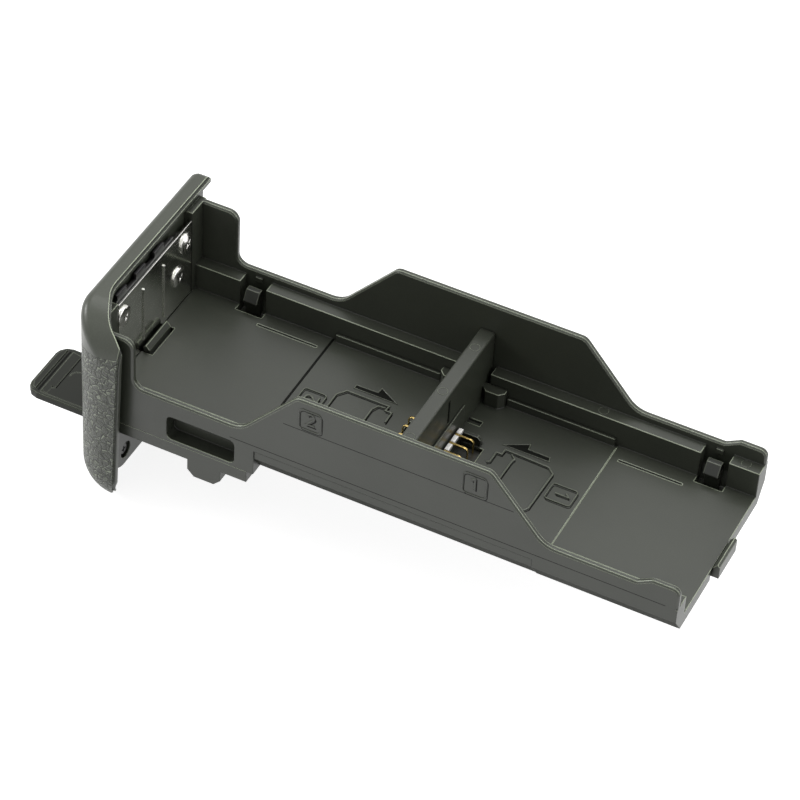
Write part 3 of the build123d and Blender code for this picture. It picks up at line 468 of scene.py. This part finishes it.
wall_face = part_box("tray_frame")[0].y
cover_low, cover_high = [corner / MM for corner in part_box("contact_cover")]
floor_z = 2.85
rail_z = 8.7
divider_z = 16.85
divider_face = 1.55
on_floor = on_level(floor_z)

# The bays' numbers as strokes in a unit box, two units high
one = [(-0.45, 0.45), (0.1, 1.0), (0.1, -1.0)]
two = arc((0.0, 0.45), 0.55, 150, -35, 8) + [(-0.6, -1.0), (0.65, -1.0)]


def strokes(points, centre, size, turn=0.0):
    """A number's strokes scaled about its centre and turned by the angle in degrees."""
    c, s = cos(turn * pi / 180) * size, sin(turn * pi / 180) * size
    return [(centre[0] + c * x - s * y, centre[1] + s * x + c * y) for x, y in points]


marks = bmesh.new()
shade_strips = bmesh.new()


def mark(points, width, height, place, closed=False):
    """A raised line with a dark strip of painted shade along its lower side."""
    shift_u, shift_v = 0.3, -0.42
    shade_strip_width, shade_strip_height = width * 0.8, 0.015
    beside = [(u + shift_u, v + shift_v) for u, v in points]
    ridge(marks, points, width, height, place, closed)
    ridge(shade_strips, beside, shade_strip_width, shade_strip_height, place, closed)


# Loading marks on the cover plate: each battery's outline with its inner line, and a half arrow
mark_width = 0.5
mark_height = 0.24
right_battery = [
    (9.6, 0.7), (10.2, 1.1), (10.2, 3.85), (11.3, 3.85), (11.4, 5.3), (20.5, 5.0), (21.9, 3.7), (21.7, -6.5),
    (21.0, -7.6), (15.0, -7.6),
]
right_inner = [(13.0, 4.7), (14.0, 3.8), (13.8, 3.2), (13.6, -6.5)]
left_battery = [
    (-23.05, -6.0), (-23.05, 3.2), (-21.7, 5.05), (-12.8, 5.05), (-12.9, 3.7), (-11.6, 3.7), (-11.5, 0.8),
]
left_inner = [(-15.25, -6.0), (-15.3, 2.8), (-14.6, 4.2), (-13.2, 4.3)]
for line in (right_battery, right_inner, left_battery, left_inner):
    mark(line, mark_width, mark_height, on_floor)
right_arrow = [(10.5, 6.35), (19.85, 6.4), (19.6, 7.45), (15.1, 7.5), (14.95, 8.95)]
left_arrow = [(-20.9, 6.4), (-11.9, 6.45), (-16.2, 8.9), (-16.35, 7.5), (-20.9, 7.35)]
arrow_foot, arrow_height, arrow_ease = -0.05, 0.03, 0.01
rim_width, rim_height = 0.3, 0.15
# Each arrow gets a dark fill of painted shade and a raised rim
for arrow in (right_arrow, left_arrow):
    slab(shade_strips, arrow, arrow_foot, arrow_height, arrow_ease, on_floor)
    ridge(marks, arrow, rim_width, rim_height, on_floor, closed=True)

# The bays' numbers in their frames, on the cover plate and again outside on the near wall
number_size = 1.35
frame_width = 0.35
floor_corner, floor_stroke = 0.6, 0.55
floor_labels = (
    ((22.95, -2.6, 28.1, 1.75), one, (25.7, -0.4), -90),
    ((-29.1, -2.5, -24.3, 1.9), two, (-26.6, -0.3), 90),
)
for edges, number, centre, turn in floor_labels:
    mark(rounded_box(*edges, floor_corner), frame_width, mark_height, on_floor, closed=True)
    mark(strokes(number, centre, number_size, turn), floor_stroke, mark_height, on_floor)
wall_corner, wall_stroke = 0.8, 0.65
wall_frame_height, wall_number_height = 0.12, 0.14
wall_labels = (
    ((-18.85, 16.6, -14.35, 21.3), two, (-16.5, 19.3)),
    ((14.2, 16.3, 18.9, 21.3), one, (16.5, 19.1)),
)
for edges, number, centre in wall_labels:
    mark(rounded_box(*edges, wall_corner), frame_width, wall_frame_height, on_near_wall, closed=True)
    mark(strokes(number, centre, number_size), wall_stroke, wall_number_height, on_near_wall)

# Painted shade lines: along the near wall's parting lines, in the gap at the cover plate's left end, in the
# divider's slot
parting_width, parting_height = 0.2, 0.02
for start_x, end_x, line_z in ((-33.0, 55.0, 7.3), (-22.0, 24.5, 15.9)):
    ridge(shade_strips, [(start_x, line_z), (end_x, line_z)], parting_width, parting_height, on_near_wall)
seam_margin, seam_width, seam_height = 0.5, 0.7, 0.05
seam = [(cover_low.x, cover_low.y + seam_margin), (cover_low.x, cover_high.y - seam_margin)]
ridge(shade_strips, seam, seam_width, seam_height, on_floor)
slot_y, slot_bottom, slot_top = 0.3, 9.6, 15.0
slot_width, slot_height = 0.8, 0.03
slot_line = [(slot_y, slot_bottom), (slot_y, slot_top)]
ridge(shade_strips, slot_line, slot_width, slot_height, on_upright(divider_face))
add_piece("moulded_marks", marks, "tray", "cover_plastic")
add_piece("mark_shade_strips", shade_strips, "tray", "holder_plastic")

# Rings left by the mould's ejector pins
ring_radius, ring_width, ring_height = 0.95, 0.22, 0.05
rings = bmesh.new()
for ring_z, centres in (
    (rail_z, ((25.2, 18.3), (54.1, 18.3))),
    (divider_z, ((0.0, 0.2), (0.0, 13.9), (0.0, -13.5))),
):
    for centre in centres:
        ridge(rings, circle(centre, ring_radius), ring_width, ring_height, on_level(ring_z), closed=True)
add_piece("ejector_rings", rings, "tray", "tray_plastic")

# Contact sets in both bays. A blade is a gold strip that bends down at its free end
blade_count, blade_pitch = 5, 2.55
far_blade_y = 2.4
blade_ys = [far_blade_y - blade_pitch * i for i in range(blade_count)]
blade_start = 2.3
blade_foot = 2.1
blade_top = 5.3
blade_bend = 0.85
blade_thickness = 0.24
blade_half_width = 0.22
blade_ease = 0.05

# The dark holder: a floor in the pocket, a bed for the blades, a rib beyond the far blade and a thin dark
# sheet round the rib's foot, which is painted shadow on the floor
holder_start = 1.65
holder_near = -8.9
rib_y, rib_half_width, rib_ease = 4.2, 0.4, 0.08
rib = [(holder_start, 1.9), (6.8, 1.9), (6.8, 4.2), (6.2, 4.85), (holder_start, 4.85)]
holder_z = 2.05
pocket_floor = rectangle(holder_start, holder_near, 7.6, 3.3)
floor_depth, floor_ease = 0.3, 0.02
rib_shadow = rectangle(holder_start, 3.3, 7.0, 5.0)
rib_shadow_low, rib_shadow_high, rib_shadow_ease = 0.8, 0.83, 0.01
bed = rectangle(holder_start, holder_near, 2.9, 3.9)
bed_height, bed_ease = 2.4, 0.05

# Light metal pieces between the blades, a painted highlight along the holder's ledge edge, and the upright
# back on the divider
bar_start, bar_end = 2.2, 3.15
bar_far, bar_near = 4.5, -9.0
bar_gap = 0.3
bar_top, bar_thickness, bar_ease = 5.35, 0.8, 0.1
bar_stops = [bar_far] + blade_ys + [bar_near]
back = rectangle(1.6, holder_near, 1.9, 6.75)
back_height, back_ease = 6.0, 0.05

holder_parts = bmesh.new()
springs = bmesh.new()
bars = bmesh.new()
backs = bmesh.new()
for way, blade_end in ((1, 6.2), (-1, 7.5)):
    bend_centre = (blade_end - blade_bend, blade_top - blade_bend)
    blade = (
        [(blade_end, blade_foot)]
        + arc(bend_centre, blade_bend, 0, 90, 6)
        + [(blade_start, blade_top), (blade_start, blade_top - blade_thickness)]
        + arc(bend_centre, blade_bend - blade_thickness, 90, 0, 6)
        + [(blade_end - blade_thickness, blade_foot)]
    )
    for y in blade_ys:
        slab(springs, blade, -blade_half_width, blade_half_width, blade_ease, in_section(way, y))
    slab(holder_parts, rib, -rib_half_width, rib_half_width, rib_ease, in_section(way, rib_y))
    low_face = beside_divider(way, holder_z)
    slab(holder_parts, pocket_floor, -floor_depth, 0.0, floor_ease, low_face)
    # A thin dark sheet on the floor round the rib's foot: painted shadow
    slab(holder_parts, rib_shadow, rib_shadow_low, rib_shadow_high, rib_shadow_ease, low_face)
    slab(holder_parts, bed, 0.0, bed_height, bed_ease, low_face)
    for far, near in zip(bar_stops, bar_stops[1:]):
        segment = rectangle(bar_start, near + bar_gap, bar_end, far - bar_gap)
        slab(bars, segment, -bar_thickness, 0.0, bar_ease, beside_divider(way, bar_top))
    slab(backs, back, 0.0, back_height, back_ease, beside_divider(way, floor_z))
add_piece("contact_holders", holder_parts, "tray", "holder_plastic", "contact_holder_1", "contact_holder_2")
add_piece("contact_springs", springs, "tray", "contact_metal", "contact_blades_1", "contact_blades_2")
# The light pieces between the blades stand in for the highlight along the holder's ledge edge
add_piece("ledge_highlight_bars", bars, "tray", "bar_metal", "contact_bar_1", "contact_bar_2")
add_piece("contact_backs", backs, "tray", "cover_plastic")

# Bright steel strips on the plate's upright ribs and along its top edge: painted highlights on these edges
plate_face = -61.2
rib_face = -61.0
fine_rib_width, fine_rib_height = 0.42, 0.1
edge_z, edge_width, edge_height = 20.75, 0.3, 0.06
plate_highlight_lines = bmesh.new()
for line_y in (-3.4, 4.4):
    fine_rib = [(line_y, 5.0), (line_y, 17.9)]
    ridge(plate_highlight_lines, fine_rib, fine_rib_width, fine_rib_height, on_upright(rib_face))
ridge(plate_highlight_lines, [(-12.6, edge_z), (15.2, edge_z)], edge_width, edge_height, on_upright(plate_face))
add_piece("plate_highlight_lines", plate_highlight_lines, "tray", "bright_steel")

# The plate's screws: domed heads with a cross recess
screw_places = ((12.8, 17.15), (9.9, 10.85), (-10.9, 16.95), (-10.9, 6.2))
screw_radius = 2.2
screw_sink = 0.02
dome_height = 0.75
dome_power, dome_fullness = 2.6, 0.8
skirt_height = 0.28
cross_turn = 0.9
arm_length, arm_half_width, arm_end_slope = 1.15, 0.3, 0.6
recess_depth, recess_wall = 0.3, 0.2
recess_rise, recess_reach = 0.6, 1.2
spokes = 72
spoke_turn = 0.5
dome_rings = 26


def cross_arm(across, along):
    """How far a point lies inside one arm of the cross, 0 outside it."""
    return min(max(arm_half_width - abs(across), 0), max(arm_length - abs(along), 0) * arm_end_slope)


def head_height(radius, angle):
    """Height of a screw head over the plate, with the cross cut into its dome."""
    swell = (1 - (radius / screw_radius) ** dome_power) ** dome_fullness
    a, b = radius * cos(angle - cross_turn), radius * sin(angle - cross_turn)
    share = min(max(cross_arm(a, b), cross_arm(b, a)) / recess_wall, 1.0)
    depth = share * recess_depth * (1 - recess_rise * min(radius / recess_reach, 1.0))
    return skirt_height + (dome_height - skirt_height) * swell - depth


screw_heads = bmesh.new()
on_plate = on_upright(plate_face)
for screw_y, screw_z in screw_places:
    loops = []
    radii = [screw_radius * (1 - ring / dome_rings) for ring in range(dome_rings)]
    for order, radius in enumerate([screw_radius] + radii):
        loop = []
        for spoke in range(spokes):
            angle = 2 * pi * spoke / spokes + spoke_turn
            height = head_height(radius, angle) if order else -screw_sink
            spot = on_plate(screw_y + radius * cos(angle), screw_z + radius * sin(angle), height)
            loop.append(screw_heads.verts.new(spot))
        loops.append(loop)
    tip = screw_heads.verts.new(on_plate(screw_y, screw_z, dome_height - recess_depth))
    for outer, inner in zip(loops, loops[1:]):
        close_ring(screw_heads, outer, inner)
    for here, after in zip(loops[-1], loops[-1][1:] + loops[-1][:1]):
        screw_heads.faces.new((here, after, tip))
for face in screw_heads.faces:
    face.smooth = True
add_piece("domed_plate_screws", screw_heads, "tray", "bright_steel", "plate_screws")

# The turn key: an eased plate with a lip at its tip, a raised tile, fine lines, dots and its barrel
key_low, key_high = [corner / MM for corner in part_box("turn_key")]
tip_x, near_y, far_y = key_low.x, key_low.y, key_high.y
key_thickness, key_ease = 1.4, 0.18
barrel_radius = key_thickness / 2
barrel_x, barrel_z = key_high.x - barrel_radius, key_low.z + barrel_radius
on_key = on_level(key_low.z + key_thickness)
detail_foot = -0.1
lip_height, lip_ease = 0.24, 0.16
tile_height, tile_ease = 0.04, 0.03
line_height = 0.03
key_outline = [
    (barrel_x, far_y), (tip_x + 2.6, far_y), (tip_x + 1.2, far_y - 0.45), (tip_x + 0.3, far_y - 1.5),
    (tip_x, far_y - 2.6), (tip_x, near_y + 2.6), (tip_x + 0.3, near_y + 1.5), (tip_x + 1.2, near_y + 0.45),
    (tip_x + 2.6, near_y), (barrel_x, near_y),
]
lip = [
    (tip_x + 1.9, far_y - 1.0), (tip_x + 1.1, far_y - 1.2), (tip_x + 0.45, far_y - 2.7),
    (tip_x + 0.45, near_y + 2.7), (tip_x + 1.1, near_y + 1.2), (tip_x + 1.9, near_y + 0.9),
]
tile = [
    (tip_x + 5.0, far_y - 1.3), (tip_x + 3.0, far_y - 0.9), (tip_x + 3.0, near_y + 1.0),
    (tip_x + 4.3, near_y + 1.0), (tip_x + 4.4, near_y + 2.6), (tip_x + 5.0, near_y + 3.0),
]
thumb_centre, thumb_radius, thumb_width = (tip_x + 7.3, -6.4), 1.5, 0.22
side_line, side_width = [(tip_x + 3.2, near_y + 0.75), (barrel_x, near_y + 0.75)], 0.2
dot_centres = ((tip_x + 4.4, near_y + 3.1), (tip_x + 3.2, near_y + 1.1))
dot_radius, dot_foot, dot_ease = 0.22, -0.05, 0.02
key = bmesh.new()
slab(key, key_outline, -key_thickness, 0.0, key_ease, on_key)
slab(key, lip, detail_foot, lip_height, lip_ease, on_key)
slab(key, tile, detail_foot, tile_height, tile_ease, on_key)
ridge(key, arc(thumb_centre, thumb_radius, 10, 190, 14), thumb_width, line_height, on_key)
ridge(key, side_line, side_width, line_height, on_key)
for centre in dot_centres:
    slab(key, circle(centre, dot_radius, 8), dot_foot, tile_height, dot_ease, on_key)
barrel = [
    [key.verts.new(Vector((x, y, z)) * MM) for x, z in circle((barrel_x, barrel_z), barrel_radius)]
    for y in (near_y, far_y)
]
close_ring(key, *barrel)
key.faces.new(barrel[0])
key.faces.new(list(reversed(barrel[1])))
add_piece("detailed_turn_key", key, "key", "tray_plastic", "turn_key")

# Painted shade lines in the recesses behind the lip and the tile
shade_strip_height = 0.02
lip_shade_x, lip_shade_width = tip_x + 2.45, 0.7
tile_shade_x, tile_shade_width = tip_x + 5.2, 0.4
lip_shade_line = [(lip_shade_x, near_y + 1.0), (lip_shade_x, far_y - 1.0)]
tile_shade_line = [(tile_shade_x, near_y + 3.0), (tile_shade_x, far_y - 1.3)]
key_shade_strips = bmesh.new()
ridge(key_shade_strips, lip_shade_line, lip_shade_width, shade_strip_height, on_key)
ridge(key_shade_strips, tile_shade_line, tile_shade_width, shade_strip_height, on_key)
add_piece("key_shade_strips", key_shade_strips, "key", "holder_plastic")


def directly_seen(tree):
    """1 for what the camera, a reflection or a clear material sees, 0 for soft light."""
    rays = tree.nodes.new("ShaderNodeLightPath").outputs
    seen = rays["Is Camera Ray"]
    for other in (rays["Is Glossy Ray"], rays["Is Transmission Ray"]):
        either = tree.nodes.new("ShaderNodeMath")
        either.operation = "MAXIMUM"
        tree.links.new(seen, either.inputs[0])
        tree.links.new(other, either.inputs[1])
        seen = either.outputs[0]
    return seen


def white_stage(level, lift):
    """Matt white that takes the shadow, lifted to paper white for the camera and for reflections."""
    material = bpy.data.materials.new("studio_white")
    material.use_nodes = True
    tree = material.node_tree
    tree.nodes.clear()
    diffuse = tree.nodes.new("ShaderNodeBsdfDiffuse")
    diffuse.inputs["Color"].default_value = (level, level, level, 1.0)
    glow = tree.nodes.new("ShaderNodeEmission")
    strength = tree.nodes.new("ShaderNodeMath")
    strength.operation = "MULTIPLY"
    strength.inputs[1].default_value = lift
    total = tree.nodes.new("ShaderNodeAddShader")
    output = tree.nodes.new("ShaderNodeOutputMaterial")
    link = tree.links.new
    link(directly_seen(tree), strength.inputs[0])
    link(strength.outputs[0], glow.inputs["Strength"])
    link(diffuse.outputs[0], total.inputs[0])
    link(glow.outputs[0], total.inputs[1])
    link(total.outputs[0], output.inputs["Surface"])
    return material


def plane(name, size, centre, material):
    """A level square that belongs to the studio and not to the part."""
    mesh = bpy.data.meshes.new(name)
    grid = bmesh.new()
    bmesh.ops.create_grid(grid, x_segments=1, y_segments=1, size=size / 2)
    grid.to_mesh(mesh)
    grid.free()
    mesh.materials.append(material)
    obj = bpy.data.objects.new(name, mesh)
    obj.location = centre
    bpy.context.collection.objects.link(obj)


def softbox(name, place, aim, size, power):
    """A lamp with a square or oblong face that looks from its place towards its aim."""
    lamp = bpy.data.lights.new(name, "AREA")
    lamp.shape = "RECTANGLE"
    lamp.size, lamp.size_y = size
    lamp.energy = power
    obj = bpy.data.objects.new(name, lamp)
    obj.location = place
    obj.rotation_mode = "QUATERNION"
    obj.rotation_quaternion = (Vector(aim) - Vector(place)).to_track_quat("-Z", "Y")
    bpy.context.collection.objects.link(obj)


# The studio: a white floor just under the part, a white world and four lamps
floor_size = 6.0
floor_gap = 0.2 * MM
floor_level, floor_lift = 0.6, 0.85
plane("studio_floor", floor_size, (0.0, 0.0, cad_low.z - floor_gap), white_stage(floor_level, floor_lift))

soft_light, seen_light = 0.5, 1.0
world = bpy.data.worlds.new("studio")
world.use_nodes = True
bpy.context.scene.world = world
sky = world.node_tree
background = sky.nodes["Background"]
background.inputs["Color"].default_value = (1.0, 1.0, 1.0, 1.0)
brightness = sky.nodes.new("ShaderNodeMapRange")
brightness.inputs["To Min"].default_value = soft_light
brightness.inputs["To Max"].default_value = seen_light
sky.links.new(directly_seen(sky), brightness.inputs["Value"])
sky.links.new(brightness.outputs["Result"], background.inputs["Strength"])

middle = (0.0, 0.0, 0.0)
softbox("key_light", (-0.05, 0.24, 0.72), middle, (0.6, 0.5), 2.9)
softbox("side_light", (-0.5, -0.2, 0.35), middle, (0.3, 0.3), 0.5)
softbox("end_light", (0.55, 0.05, 0.3), (-0.02, 0.0, 0.0), (0.4, 0.3), 0.9)
softbox("cap_light", (-0.5, -0.08, 0.3), (-0.06, -0.02, 0.0), (0.12, 0.12), 0.8)

# The camera that matches the photo
camera_place = (0.190453, -0.444865, 0.469466)
right = Vector((0.89294, 0.44771, 0.04711))
up = Vector((-0.33815, 0.59795, 0.72671))
back_way = Vector((0.29719, -0.66484, 0.68532))
camera_data = bpy.data.cameras.new("camera")
camera_data.lens = 162.02
camera_data.sensor_width = 36.0
camera_data.clip_start = 0.01
camera = bpy.data.objects.new("camera", camera_data)
axes = Matrix((right, up, back_way)).transposed().to_4x4()
camera.matrix_world = Matrix.Translation(camera_place) @ axes
bpy.context.collection.objects.link(camera)
bpy.context.scene.camera = camera
bpy.context.scene.view_settings.view_transform = "Standard"
